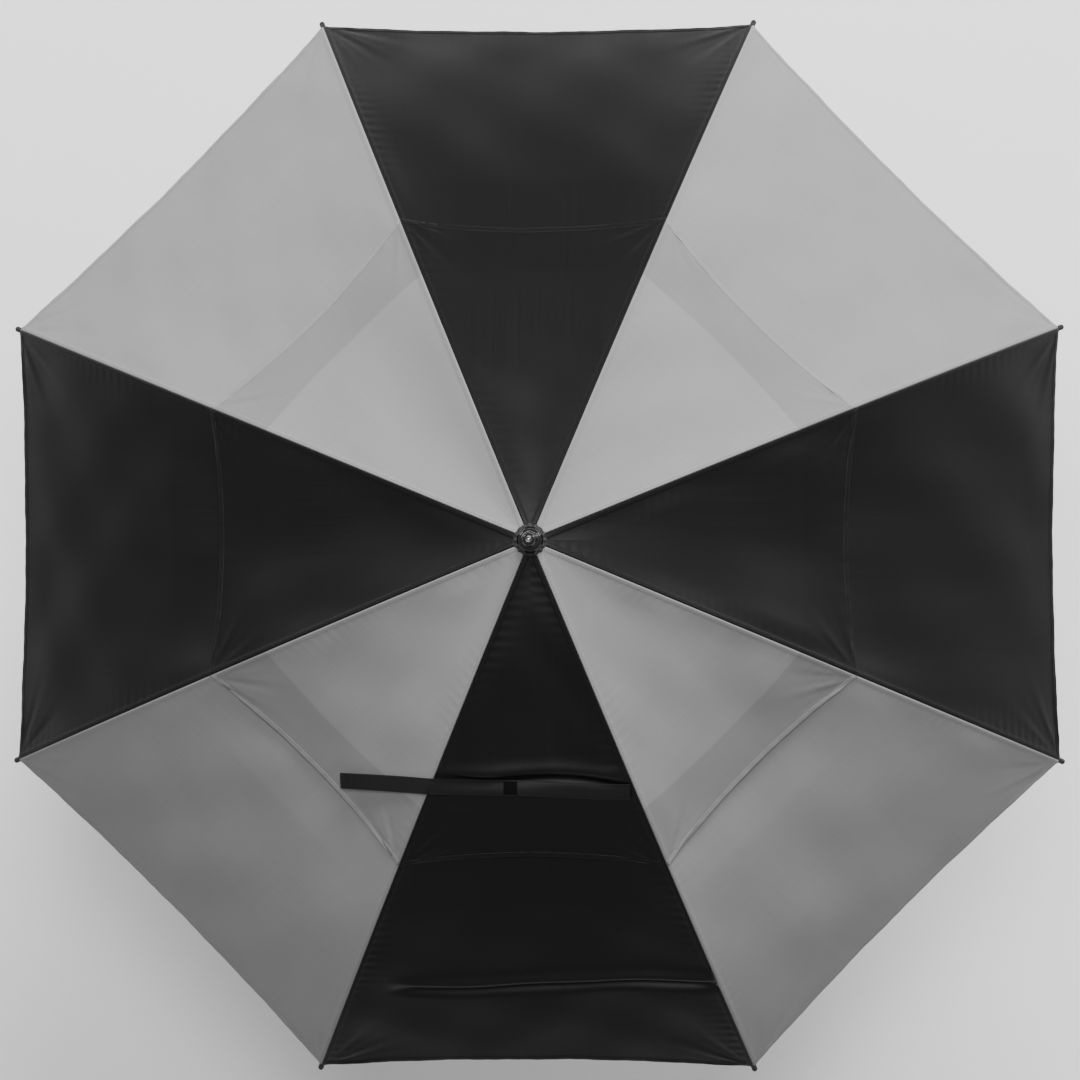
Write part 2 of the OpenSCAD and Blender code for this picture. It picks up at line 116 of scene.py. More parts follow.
def build_surface_group():
    """Moulded or lacquered surface: fine grain, broad shade changes, edges rubbed lighter, and a
    little dust on what faces up."""
    group, given, out = start_group("rubbed_surface")
    socket_in(group, "Colour", "NodeSocketColor")
    socket_in(group, "Roughness", "NodeSocketFloat", 0.4)
    socket_in(group, "Grain Scale", "NodeSocketFloat", 2500.0)
    socket_in(group, "Wear", "NodeSocketFloat", 0.3)
    socket_in(group, "Dust", "NodeSocketFloat", 0.1)
    for name, kind in (("Colour", "Color"), ("Roughness", "Float"), ("Height", "Float")):
        group.interface.new_socket(name, in_out="OUTPUT", socket_type="NodeSocket" + kind)
    place = group.nodes.new("ShaderNodeTexCoord").outputs["Object"]
    grain = group.nodes.new("ShaderNodeTexNoise")
    grain.inputs["Detail"].default_value = 2.0
    group.links.new(place, grain.inputs["Vector"])
    group.links.new(given.outputs["Grain Scale"], grain.inputs["Scale"])
    broad = stretched_noise(group, place, 60.0)
    scuffs = stretched_noise(group, place, 240.0, (1, 1, 0.2), 4.0)
    geometry = group.nodes.new("ShaderNodeNewGeometry")
    edge = math_node(group, "SUBTRACT", geometry.outputs["Pointiness"], 0.515)
    edge = math_node(group, "MULTIPLY", edge, 14.0, clamp=True)
    edge = math_node(group, "MULTIPLY", edge, scuffs)
    edge = math_node(group, "MULTIPLY", edge, given.outputs["Wear"], clamp=True)
    facing = group.nodes.new("ShaderNodeSeparateXYZ")
    group.links.new(geometry.outputs["Normal"], facing.inputs[0])
    dust = math_node(group, "MULTIPLY", facing.outputs["Z"], given.outputs["Dust"], clamp=True)
    dust = math_node(group, "MULTIPLY", dust, broad)
    shaded = mix_colour(group, broad, given.outputs["Colour"], (0.75, 0.75, 0.76), "MULTIPLY")
    worn = mix_colour(group, edge, shaded, (0.32, 0.32, 0.32))
    dusty = mix_colour(group, dust, worn, (0.45, 0.43, 0.4))
    rough = math_node(group, "MULTIPLY_ADD", broad, 0.16)
    rough.node.inputs[2].default_value = -0.08
    rough = math_node(group, "ADD", rough, given.outputs["Roughness"])
    rough = math_node(group, "ADD", rough, dust, clamp=True)
    group.links.new(dusty, out.inputs["Colour"])
    group.links.new(rough, out.inputs["Roughness"])
    group.links.new(grain.outputs["Fac"], out.inputs["Height"])
    return group


rubbed_surface = build_surface_group()


def start_material(name):
    """A new material with its tree and its Principled shader."""
    material = bpy.data.materials.new(name)
    material.use_nodes = True
    return material, material.node_tree, material.node_tree.nodes["Principled BSDF"]


def bump_from(tree, height, strength, distance, shader):
    """Bump on the shader from a height."""
    bump = tree.nodes.new("ShaderNodeBump")
    bump.inputs["Strength"].default_value = strength
    bump.inputs["Distance"].default_value = distance
    tree.links.new(height, bump.inputs["Height"])
    tree.links.new(bump.outputs[0], shader.inputs["Normal"])


def finished(name, colour, roughness, grain=2500.0, wear=0.3, dust=0.1, bump=0.1, coat=0.0, metal=0.0):
    """A plastic, lacquered or metal finish: the rubbed surface group feeding a Principled shader."""
    material, tree, shader = start_material(name)
    group = tree.nodes.new("ShaderNodeGroup")
    group.node_tree = rubbed_surface
    group.inputs["Colour"].default_value = (*colour, 1)
    for socket, value in (("Roughness", roughness), ("Grain Scale", grain), ("Wear", wear), ("Dust", dust)):
        group.inputs[socket].default_value = value
    shader.inputs["Metallic"].default_value = metal
    shader.inputs["Coat Weight"].default_value = coat
    shader.inputs["Coat Roughness"].default_value = 0.12
    tree.links.new(group.outputs["Colour"], shader.inputs["Base Color"])
    tree.links.new(group.outputs["Roughness"], shader.inputs["Roughness"])
    bump_from(tree, group.outputs["Height"], bump, 0.0004, shader)
    return material


def coat_node(name, material):
    """Gives a CAD node's whole surface one material."""
    node = nodes[name]
    node.data.materials.clear()
    node.data.materials.append(material)


lacquered_tube = finished("lacquered_tube", (0.018, 0.018, 0.019), 0.3, 900.0, 0.15, 0.05, 0.05, coat=0.6)
moulded_black = finished("moulded_black", (0.006, 0.006, 0.0065), 0.45, 3200.0, 0.25, 0.02, 0.3)
coat_node("shaft", lacquered_tube)
coat_node("runner_stop", moulded_black)

# ---------------------------------------------------------------------------------------------
# Top notch: a nylon hub with a slot for each rib's eye. A bright wire ring through all eight eyes
# holds them in it, and a steel rivet through hub and tube fixes it to the shaft.

bright_wire = finished("bright_wire", (0.62, 0.62, 0.64), 0.25, 1800.0, 0.1, 0.0, 0.05, metal=1.0)
rib_joint = named_joint("rib_1_hinge")
hinge_r = float(np.hypot(*rib_joint["pos_m"][:2]))
hinge_z = rib_joint["pos_m"][2]
ribs = sum(name.startswith("rib_tip_") for name in nodes)
gore_angle = 2 * np.pi / ribs
half_gore = gore_angle / 2

coat_node("top_notch", moulded_black)
coat_node("notch_wire", bright_wire)
coat_node("notch_rivet", bright_wire)

# ---------------------------------------------------------------------------------------------
# Ribs: pultruded fibreglass rods, sprung into a bow by the cloth, each with an eye at the
# notch. The bow is an arc whose slope grows evenly from the crown to the tip.

rib_length = 0.740
crown_slope = np.radians(8)
arc_turn = np.radians(36)
arc_radius = rib_length / arc_turn


def rib_slope(s):
    """Slope below level at curve length s: the slope at the crown plus the share of the arc's turn."""
    return crown_slope + s / arc_radius


def rib_radius(s):
    """Distance from the shaft's axis: the hinge's, plus the arc's radius times the growth of the
    slope's sine."""
    return hinge_r + arc_radius * (np.sin(rib_slope(s)) - np.sin(crown_slope))


def rib_height(s):
    """Height: the hinge's, less the arc's radius times the fall of the slope's cosine."""
    return hinge_z - arc_radius * (np.cos(crown_slope) - np.cos(rib_slope(s)))


def rod_finish(name, colour):
    """Fibreglass rod: lengthwise resin streaks in its colour and a thin gloss over them."""
    material, tree, shader = start_material(name)
    place = tree.nodes.new("ShaderNodeTexCoord").outputs["Object"]
    streaks = stretched_noise(tree, place, 420.0, (1, 1, 0.06), 4.0)
    fine = stretched_noise(tree, place, 2200.0, (1, 1, 0.1), 2.0)
    colour_out = mix_colour(tree, streaks, colour, tuple(2.2 * c for c in colour))
    rough = math_node(tree, "MULTIPLY", fine, 0.35)
    rough = math_node(tree, "ADD", rough, 0.22)
    tree.links.new(colour_out, shader.inputs["Base Color"])
    tree.links.new(rough, shader.inputs["Roughness"])
    shader.inputs["Coat Weight"].default_value = 0.35
    bump_from(tree, streaks, 0.15, 0.0003, shader)
    return material


rib_rod = rod_finish("fibreglass_rod", (0.035, 0.036, 0.038))
for i in range(1, ribs + 1):
    coat_node(f"rib_{i}", rib_rod)
    coat_node(f"rib_bracket_{i}", moulded_black)

# ---------------------------------------------------------------------------------------------
# Rib tips: moulded nylon caps pushed over the rods' ends. Each has a collar, two grooves that the
# thread is wound in, and a ball end that stands past the canopy's corner.


def build_mesh(name, points, faces, material, smooth=True, uv=None, weld=False):
    """A mesh object from an array of points and an array of faces. Welding merges the points of a
    pole or a seam and turns the faces outwards."""
    mesh = bpy.data.meshes.new(name)
    mesh.from_pydata(points.reshape(-1, 3).tolist(), [], faces.tolist())
    if uv is not None:
        layer = mesh.uv_layers.new(name="cloth")
        loops = np.empty(len(mesh.loops), np.int32)
        mesh.loops.foreach_get("vertex_index", loops)
        layer.data.foreach_set("uv", uv.reshape(-1, 2)[loops].astype(np.float32).ravel())
    if weld:
        work = bmesh.new()
        work.from_mesh(mesh)
        bmesh.ops.remove_doubles(work, verts=work.verts, dist=1e-7)
        bmesh.ops.dissolve_degenerate(work, edges=work.edges, dist=1e-7)
        bmesh.ops.recalc_face_normals(work, faces=work.faces)
        work.to_mesh(mesh)
        work.free()
    mesh.polygons.foreach_set("use_smooth", np.full(len(mesh.polygons), smooth))
    mesh.materials.append(material)
    piece = bpy.data.objects.new(name, mesh)
    bpy.context.scene.collection.objects.link(piece)
    return piece


def grid_faces(rows, columns, close_rows=False, close_columns=False):
    """Four-sided faces over a grid of points: each joins a point to the next one along the row and
    down the column."""
    index = np.arange(rows * columns).reshape(rows, columns)
    if close_rows:
        index = np.vstack([index, index[:1]])
    if close_columns:
        index = np.hstack([index, index[:, :1]])
    return np.stack([index[:-1, :-1], index[1:, :-1], index[1:, 1:], index[:-1, 1:]], -1).reshape(-1, 4)


def arc_points(centre, radius, start, end, count=8):
    """Points along an arc in a profile: the centre plus the radius times cosine and sine of angles
    in even steps."""
    angle = np.radians(np.linspace(start, end, count))
    radius = np.broadcast_to(radius, (2,))
    return np.stack([centre[0] + radius[0] * np.cos(angle), centre[1] + radius[1] * np.sin(angle)], -1)


def turned(name, profile, material, base=(0, 0, 0), along=(0, 0, 1), segments=64):
    """A turned shape: each profile point, its radius and its distance along the axis, carried round
    the axis in even steps."""
    profile = np.vstack(profile)
    along = np.array(along, float) / np.linalg.norm(along)
    side = np.cross(along, (0.0, 1.0, 0.0) if abs(along[1]) < 0.9 else (1.0, 0.0, 0.0))
    side /= np.linalg.norm(side)
    other = np.cross(along, side)
    angle = np.linspace(0, 2 * np.pi, segments, endpoint=False)[:, None, None]
    spokes = np.cos(angle) * side + np.sin(angle) * other
    points = np.array(base) + profile[None, :, :1] * spokes + profile[None, :, 1:] * along
    return build_mesh(name, points, grid_faces(segments, len(profile), True), material, weld=True)


def rib_frame(i, s):
    """A point of rib i at curve length s, with the directions along the rib and up from it."""
    turn = half_gore + (i - 1) * gore_angle
    outward = np.array([np.cos(turn), np.sin(turn), 0])
    slope, up = rib_slope(s), np.array([0, 0, 1.0])
    point = rib_radius(s) * outward + rib_height(s) * up
    return point, np.cos(slope) * outward - np.sin(slope) * up, np.sin(slope) * outward + np.cos(slope) * up


tip_r = 0.0031
tip_reach = 0.0058
tip_profile = [
    [[0.0024, -0.009], [0.0027, -0.0093]],
    arc_points((0.0027, -0.0087), 0.0005, -60, 60, 5),
    [[0.0028, -0.0079], [0.0028, -0.0052], [0.0033, -0.0047], [0.0033, -0.0041], [0.0027, -0.0036]],
    [[0.0027, -0.0024], [0.0033, -0.0019], [0.0033, -0.0013], [0.0028, -0.0008]],
    arc_points((0, tip_reach - tip_r - 0.0003), tip_r + 0.0003, -48, 90, 14),
]
for i in range(1, ribs + 1):
    place, along, _ = rib_frame(i, rib_length)
    tip = turned(f"rib_tip_{i}_cap", tip_profile, moulded_black, place, along, 40)
    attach(tip, f"rib_{i}")
    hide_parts(f"rib_tip_{i}")

# ---------------------------------------------------------------------------------------------
# Stretchers: slimmer fibreglass rods that hold the ribs up from the runner, with a moulded fork at
# the rib and a flat eye at the runner.

strut_rod = rod_finish("strut_rod", (0.03, 0.031, 0.033))
for i in range(1, ribs + 1):
    coat_node(f"stretcher_{i}", strut_rod)

# ---------------------------------------------------------------------------------------------
# Runner and catches: the slider is one nylon moulding with a wire ring through the stretchers' eyes.
# Two pressed steel catches spring out of the tube, one to hold it up and one to hold it shut.

slider_nylon = finished("slider_nylon", (0.011, 0.011, 0.012), 0.36, 1600.0, 0.5, 0.06, 0.18, coat=0.15)
coat_node("runner", slider_nylon)
coat_node("runner_wire", bright_wire)
for name in ("top_catch", "bottom_catch", "catch_pins"):
    coat_node(name, bright_wire)

# ---------------------------------------------------------------------------------------------
# Handle: a plastic core tube glued to the shaft, with a closed-cell foam sleeve that has turned
# finger grooves, a tapered collar above it and an end cap with a flat butt below.

grip_low, grip_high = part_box("handle_grip")
grip_r = grip_high.x
groove_depth = 0.0009
groove_pitch = 0.0125
plain_end = 0.014


def grip_profile():
    """The sleeve from its bore out and back: straight ends with rounded edges, and between them a
    row of shallow grooves, each a raised cosine."""
    z = np.linspace(grip_low.z + plain_end, grip_high.z - plain_end, 320)
    phase = (z - z[0]) / groove_pitch * 2 * np.pi
    grooves = np.stack([grip_r - groove_depth * np.maximum(0, np.cos(phase)) ** 6, z], -1)
    edge = 0.0015
    low = arc_points((grip_r - edge, grip_low.z + edge), edge, -90, 0)
    high = arc_points((grip_r - edge, grip_high.z - edge), edge, 0, 90)
    bore = 0.0123
    return [[[bore, grip_low.z]], low, grooves, high, [[bore, grip_high.z], [bore, grip_low.z]]]


def foam_finish():
    """Closed-cell foam: small round pits, and a soft black with paler patches."""
    material, tree, shader = start_material("grip_foam")
    place = tree.nodes.new("ShaderNodeTexCoord").outputs["Object"]
    cells = tree.nodes.new("ShaderNodeTexVoronoi")
    cells.inputs["Scale"].default_value = 1500.0
    tree.links.new(place, cells.inputs["Vector"])
    mottle = stretched_noise(tree, place, 90.0)
    patchy = mix_colour(tree, mottle, (0.008, 0.008, 0.0085), (0.02, 0.02, 0.021))
    tree.links.new(patchy, shader.inputs["Base Color"])
    tree.links.new(math_node(tree, "ADD", mottle, 0.25, clamp=True), shader.inputs["Roughness"])
    shader.inputs["Sheen Weight"].default_value = 0.15
    bump_from(tree, cells.outputs["Distance"], 0.45, 0.0005, shader)
    return material


grip = turned("foam_grip", grip_profile(), foam_finish(), segments=96)
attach(grip, "frame")
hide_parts("handle_grip")
coat_node("handle_core", moulded_black)
coat_node("handle_collar", slider_nylon)
coat_node("handle_end_cap", slider_nylon)

# ---------------------------------------------------------------------------------------------
# Crown: a notched washer spreads the load on the cloth, a glossy domed cap covers it, and the
# ferrule is a turned and polished spike with two rings, closed by a small bright end plug.

polished_black = finished("polished_black", (0.003, 0.003, 0.0032), 0.13, 700.0, 0.1, 0.01, 0.01, coat=0.5)
washer_low, washer_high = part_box("crown_rosette")
washer_r = 0.0179
washer_lobes = 16
washer_bore = 0.0075
washer_rings, washer_spokes = 14, 320


def washer_points():
    """A dished washer: its rim swells and shrinks with the cosine of the lobes' angle, more so
    towards the edge, and radial flutes ride on top."""
    turn = np.linspace(0, 2 * np.pi, washer_spokes, endpoint=False)[:, None]
    share = np.linspace(0, 1, washer_rings)[None, :]
    lobe = 0.0011 * (0.5 + 0.5 * np.cos(washer_lobes * turn)) ** 0.7 - 0.0011
    radius = washer_bore + (washer_r + lobe - washer_bore) * share
    flute = 0.0004 * (0.5 + 0.5 * np.cos(washer_lobes * turn))
    crown = washer_high.z + flute * share ** 2 - 0.0012 * share ** 6
    low = np.full_like(crown, washer_low.z)
    radius = np.hstack([radius, radius[:, ::-1]])
    height = np.hstack([crown, low])
    return np.stack([radius * np.cos(turn), radius * np.sin(turn), height], -1)


washer_faces = grid_faces(washer_spokes, 2 * washer_rings, True, True)
washer = build_mesh("crown_washer", washer_points(), washer_faces, moulded_black, weld=True)
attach(washer, "frame")
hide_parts("crown_rosette")

cap_low, cap_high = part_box("crown_cap")
spike_low, spike_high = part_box("ferrule")
cap_r, spike_r = cap_high.x, spike_high.x
cap_profile = [
    [[spike_r - 0.0004, cap_low.z], [cap_r - 0.0008, cap_low.z]],
    [[cap_r, cap_low.z + 0.0008], [cap_r, cap_low.z + 0.0022]],
    [[cap_r - 0.0006, cap_low.z + 0.0027], [cap_r - 0.0006, cap_low.z + 0.0031]],
    arc_points((spike_r, cap_low.z + 0.0032), (cap_r - spike_r - 0.0006, 0.0072), 0, 84, 16),
    [[spike_r + 0.0004, cap_high.z], [spike_r - 0.0004, cap_high.z - 0.0006], [spike_r - 0.0004, cap_low.z]],
]
dome = turned("crown_dome", cap_profile, polished_black, segments=96)
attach(dome, "frame")
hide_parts("crown_cap")

spike_tip_r = 0.0072
spike_bore, spike_bore_depth = 0.0072, 0.024
spike_profile = [
    [[spike_bore, spike_low.z], [spike_r, spike_low.z], [spike_r, spike_low.z + 0.0135]],
    arc_points((spike_r - 0.0012, spike_low.z + 0.0148), 0.0012, -20, 90, 6),
    arc_points((spike_r - 0.0004, spike_low.z + 0.0185), 0.0014, 250, 150, 6),
    [[spike_r - 0.0004, spike_low.z + 0.021], [spike_tip_r + 0.0001, spike_high.z - 0.0135]],
    arc_points((spike_tip_r - 0.0003, spike_high.z - 0.0125), 0.0009, -60, 60, 7),
    [[spike_tip_r - 0.0002, spike_high.z - 0.011], [spike_tip_r + 0.0006, spike_high.z - 0.008]],
    arc_points((0.0024, spike_high.z - 0.0056), (spike_tip_r - 0.0019, 0.0052), -8, 88, 16),
    [[0.0025, spike_high.z - 0.0005], [0.0021, spike_high.z - 0.0011], [0.0, spike_high.z - 0.0011]],
    [[0.0, spike_low.z + spike_bore_depth], [spike_bore, spike_low.z + spike_bore_depth]],
    [[spike_bore, spike_low.z]],
]
spike = turned("spike_body", spike_profile, polished_black, segments=80)
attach(spike, "frame")
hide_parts("ferrule")
plug_profile = [[[0.0, spike_high.z - 0.0014]], [[0.002, spike_high.z - 0.0014]],
                arc_points((0, spike_high.z - 0.0011), (0.002, 0.0011), 0, 90, 8)]
plug = turned("spike_end_plug", plug_profile, bright_wire, segments=40)
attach(plug, "frame")

# ---------------------------------------------------------------------------------------------
# Canopy: two layers of plain-weave cloth, each of eight gores cut on a curve and sewn along the
# ribs. The lower one runs to the rib tips. The upper one lies over it from the crown, and its hem
# is free between the ribs, so that wind can pass.

cloth_dip = 0.014
hem_cut = 0.0125
vent_drop = 0.009
seam_gap = 0.0002
layers = {
    "lower": {"lift": 0.0040, "start": 0.318, "end": 0.732, "rows": 118, "columns": 104},
    "upper": {"lift": 0.0053, "start": 0.005, "end": 0.398, "rows": 112, "columns": 104},
}
vent_fade = 0.140
inner_bulge = 0.007
slack_height = 0.0011
pucker_height, pucker_pitch = 0.00042, 0.0125
hem_flutter = 0.00028
seam_ridge, seam_pull = 0.00045, 0.0016
corner_reach = {"upper": 0.055, "lower": 0.075}
corner_height = {"upper": 0.0010, "lower": 0.0006}
strap_gore = 7
kept_folds = {
    "upper": {"start": (-0.118, 0.279), "end": (0.106, 0.286), "width": 0.0070, "depth": 0.0060},
    "lower": {"start": (-0.165, 0.592), "end": (0.215, 0.580), "width": 0.0070, "depth": 0.0085},
}


def across_width(s, lift):
    """Half the width of a gore at curve length s: the radius over the ribs times the sine of half a
    gore's angle."""
    return (rib_radius(s) + lift * np.sin(rib_slope(s))) * np.sin(half_gore) - seam_gap


def fade(x, low, high):
    """0 below low, 1 above high, and a smooth step between."""
    t = np.clip((x - low) / (high - low), 0, 1)
    return t * t * (3 - 2 * t)


def fold_line(u, s, start, end, width, depth):
    """A soft fold along a line drawn on the flat gore: a groove whose section is a bell curve, with a
    roll beside it. It deepens evenly from start to end, and fades at both ends."""
    start, end = np.array(start), np.array(end)
    run = end - start
    length = np.linalg.norm(run)
    along = ((u - start[0]) * run[0] + (s - start[1]) * run[1]) / length
    aside = ((u - start[0]) * run[1] - (s - start[1]) * run[0]) / length
    aside = aside + 0.004 * np.sin(along / length * 7)
    ends = fade(along, -0.01, 0.03) * fade(length - along, -0.01, 0.03)
    depth = depth * (0.65 + 0.35 * along / length)
    roll = 0.7 * np.exp(-((aside - 1.5 * width) / (1.5 * width)) ** 2)
    return depth * ends * (roll - np.exp(-(aside / width) ** 2))


def corner_rays(u, s, corner_u, corner_s, reach, height, seed):
    """Tension folds that fan out from a sewn corner: two sines of the direction from the corner,
    dying away with distance."""
    phase = np.random.default_rng(seed).uniform(0, 2 * np.pi, 2)
    du, ds = u - corner_u, corner_s - s
    far = np.hypot(du, ds)
    way = np.arctan2(du, ds + 1e-9)
    waves = np.sin(13 * way + phase[0]) + 0.6 * np.sin(29 * way + phase[1])
    return height * waves * fade(far, 0.004, 0.03) * np.exp(-(far / reach) ** 2)


def slack_waves(u, s, seed, height):
    """Broad slack in the panel: six sine waves of random direction, from 60 to 190 mm long, added up."""
    draw = np.random.default_rng(seed)
    total = 0
    for _ in range(6):
        length, turn, phase = draw.uniform(0.06, 0.19), draw.uniform(-1.1, 1.1), draw.uniform(0, 2 * np.pi)
        total = total + length * np.sin(2 * np.pi / length * (u * np.cos(turn) + s * np.sin(turn)) + phase)
    return height * total / 0.3


def relief(i, layer, u, s, v, edge_s):
    """How far the cloth stands off its smooth shape: slack, pulled corners, puckers along the seams
    and the hem, the seam's own ridge, and the fold that the strap's gore keeps from being rolled up."""
    seed = 10 * i + (5 if layer == "upper" else 0)
    width = across_width(s, layers[layer]["lift"])
    from_seam = width * (1 - np.abs(v))
    free = fade(from_seam, 0.0, 0.03)
    to_hem = np.abs(edge_s - s)
    height = free * slack_waves(u, s, seed, slack_height) * (0.3 + 0.7 * fade(to_hem, 0.0, 0.06))
    side = np.sign(v)
    pucker = np.sin(2 * np.pi * s / pucker_pitch + 1.7 * np.sin(s / 0.05 + seed) + side)
    pucker = pucker * np.exp(-from_seam / 0.013) * fade(from_seam, 0.002, 0.007)
    height = height + pucker_height * pucker * (0.55 + 0.45 * np.sin(s / 0.037 + seed + side))
    flutter = np.sin(2 * np.pi * u / 0.071 + seed) + 0.5 * np.sin(2 * np.pi * u / 0.023 + 2 * seed)
    height = height + hem_flutter * flutter * np.exp(-to_hem / 0.014) * free
    end_s = layers[layer]["end"]
    reach, lift = corner_reach[layer], corner_height[layer]
    for way in (-1, 1):
        corner_u = way * across_width(end_s, 0)
        height = height + free * corner_rays(u, s, corner_u, end_s, reach, lift, seed + way + 2)
    height = height + seam_ridge * fade(from_seam, 0.0065, 0.0045) - seam_pull * fade(from_seam, 0.0012, 0.0)
    if i == strap_gore:
        height = height + fold_line(u, s, **kept_folds[layer])
    return height


def cloth_place(i, layer, s, v):
    """A point of gore i's cloth. Across, it lies on the straight line between the two ribs, and it
    dips below them by a parabola that is deepest in the middle. The lower layer dips further under
    the vent. The relief is added upwards."""
    facts = layers[layer]
    slope, lift = rib_slope(s), facts["lift"]
    half = across_width(s, lift)
    radius = rib_radius(s) + lift * np.sin(slope)
    dip = cloth_dip * np.sin(np.pi * np.clip(s / rib_length, 0, 1))
    if layer == "lower":
        dip = dip + vent_drop * np.clip(1 - (s - facts["start"]) / vent_fade, 0, 1)
    edge_s = facts["end"] - hem_cut * (1 - v * v)
    height = relief(i, layer, v * half, s, v, edge_s)
    turn = (i - 1) * gore_angle
    out = radius * np.cos(half_gore) + height * np.sin(slope)
    z = rib_height(s) + lift * np.cos(slope) - dip * (1 - v * v) + height * np.cos(slope)
    side = v * half
    x = out * np.cos(turn) - side * np.sin(turn)
    y = out * np.sin(turn) + side * np.cos(turn)
    return np.stack([x, y, z], -1)


def cloth_rows(layer, share, v):
    """Curve length at a share of the way from a layer's inner edge to its hem. Both edges are cut
    on a curve."""
    facts = layers[layer]
    start = facts["start"] + (inner_bulge * (1 - v * v) if layer == "lower" else 0)
    return start + (facts["end"] - hem_cut * (1 - v * v) - start) * share


def weave_group():
    """Plain-weave cloth from its own flat coordinates in metres: warp and weft threads, slubs drawn
    out along both, and slow shade changes."""
    group, given, out = start_group("woven_cloth")
    socket_in(group, "Colour", "NodeSocketColor")
    socket_in(group, "Streak", "NodeSocketFloat", 0.25)
    socket_in(group, "Threads", "NodeSocketFloat", 1400.0)
    for name, kind in (("Colour", "Color"), ("Roughness", "Float"), ("Height", "Float")):
        group.interface.new_socket(name, in_out="OUTPUT", socket_type="NodeSocket" + kind)
    flat = group.nodes.new("ShaderNodeUVMap")
    flat.uv_map = "cloth"
    threads = []
    for direction in ("X", "Y"):
        wave = group.nodes.new("ShaderNodeTexWave")
        wave.bands_direction = direction
        wave.inputs["Distortion"].default_value = 0.4
        group.links.new(given.outputs["Threads"], wave.inputs["Scale"])
        group.links.new(flat.outputs[0], wave.inputs["Vector"])
        threads.append(wave.outputs["Fac"])
    weave = math_node(group, "MULTIPLY", *threads)
    slubs = stretched_noise(group, flat.outputs[0], 520.0, (1, 0.012, 1), 3.0)
    cross = stretched_noise(group, flat.outputs[0], 420.0, (0.012, 1, 1), 2.0)
    broad = stretched_noise(group, flat.outputs[0], 11.0, (1, 0.6, 1), 4.0)
    streak = math_node(group, "SUBTRACT", math_node(group, "ADD", slubs, cross), 1.0)
    streak = math_node(group, "MULTIPLY", streak, given.outputs["Streak"])
    patch = math_node(group, "MULTIPLY", math_node(group, "SUBTRACT", broad, 0.5), 0.22)
    level = math_node(group, "ADD", math_node(group, "ADD", streak, patch), 1.0)
    scaled = group.nodes.new("ShaderNodeVectorMath")
    scaled.operation = "SCALE"
    group.links.new(given.outputs["Colour"], scaled.inputs[0])
    group.links.new(level, scaled.inputs["Scale"])
    group.links.new(scaled.outputs[0], out.inputs["Colour"])
    rough = math_node(group, "MULTIPLY", slubs, 0.2)
    group.links.new(math_node(group, "ADD", rough, 0.38, clamp=True), out.inputs["Roughness"])
    height = math_node(group, "ADD", weave, math_node(group, "MULTIPLY", slubs, 0.8))
    group.links.new(height, out.inputs["Height"])
    return group


woven_cloth = weave_group()
# Painted shade: how dark the cloth's colour is made where the two canopy layers overlap.
painted_double_layer_shade = 0.84


def cloth_finish(name, colour, gloss, streak, see_through):
    """Canopy cloth: the woven group, with painted shade where the second layer lies behind it, for the
    light that two layers hold back, and with a little light let through."""
    material, tree, shader = start_material(name)
    group = tree.nodes.new("ShaderNodeGroup")
    group.node_tree = woven_cloth
    group.inputs["Colour"].default_value = (*colour, 1)
    group.inputs["Streak"].default_value = streak
    past = tree.nodes.new("ShaderNodeAttribute")
    past.attribute_name = "past_inner_edge"
    # Painted shade: the colour is darkened in the band where the lower layer lies behind the upper one.
    band = math_node(tree, "MULTIPLY", past.outputs["Fac"], 450.0, clamp=True)
    shade = mix_colour(tree, band, (1, 1, 1), (painted_double_layer_shade,) * 3)
    colour_with_painted_shade = mix_colour(tree, 1.0, group.outputs["Colour"], shade, "MULTIPLY")
    tree.links.new(colour_with_painted_shade, shader.inputs["Base Color"])
    tree.links.new(group.outputs["Roughness"], shader.inputs["Roughness"])
    shader.inputs["Specular IOR Level"].default_value = gloss
    bump_from(tree, group.outputs["Height"], 0.12, 0.0002, shader)
    glow = tree.nodes.new("ShaderNodeBsdfTranslucent")
    tree.links.new(colour_with_painted_shade, glow.inputs["Color"])
    mix = tree.nodes.new("ShaderNodeMixShader")
    mix.inputs[0].default_value = see_through
    surface = tree.nodes["Material Output"].inputs["Surface"]
    tree.links.new(shader.outputs[0], mix.inputs[1])
    tree.links.new(glow.outputs[0], mix.inputs[2])
    tree.links.new(mix.outputs[0], surface)
    return material


black_cloth = cloth_finish("canopy_cloth_black", (0.0036, 0.0035, 0.0036), 0.3, 0.35, 0.03)
grey_cloth = cloth_finish("canopy_cloth_grey", (0.255, 0.252, 0.252), 0.2, 0.1, 0.2)


def made_final(piece):
    """Turns a piece's modifiers into its mesh."""
    depsgraph = bpy.context.evaluated_depsgraph_get()
    mesh = bpy.data.meshes.new_from_object(piece.evaluated_get(depsgraph), depsgraph=depsgraph)
    piece.modifiers.clear()
    piece.data = mesh
    return piece


def goes_with_gore(piece, i):
    """The piece rides with a gore's body and gets a mesh of its own."""
    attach(piece, f"gore_{i}")
    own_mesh(piece)


cloth_thickness = 0.0004


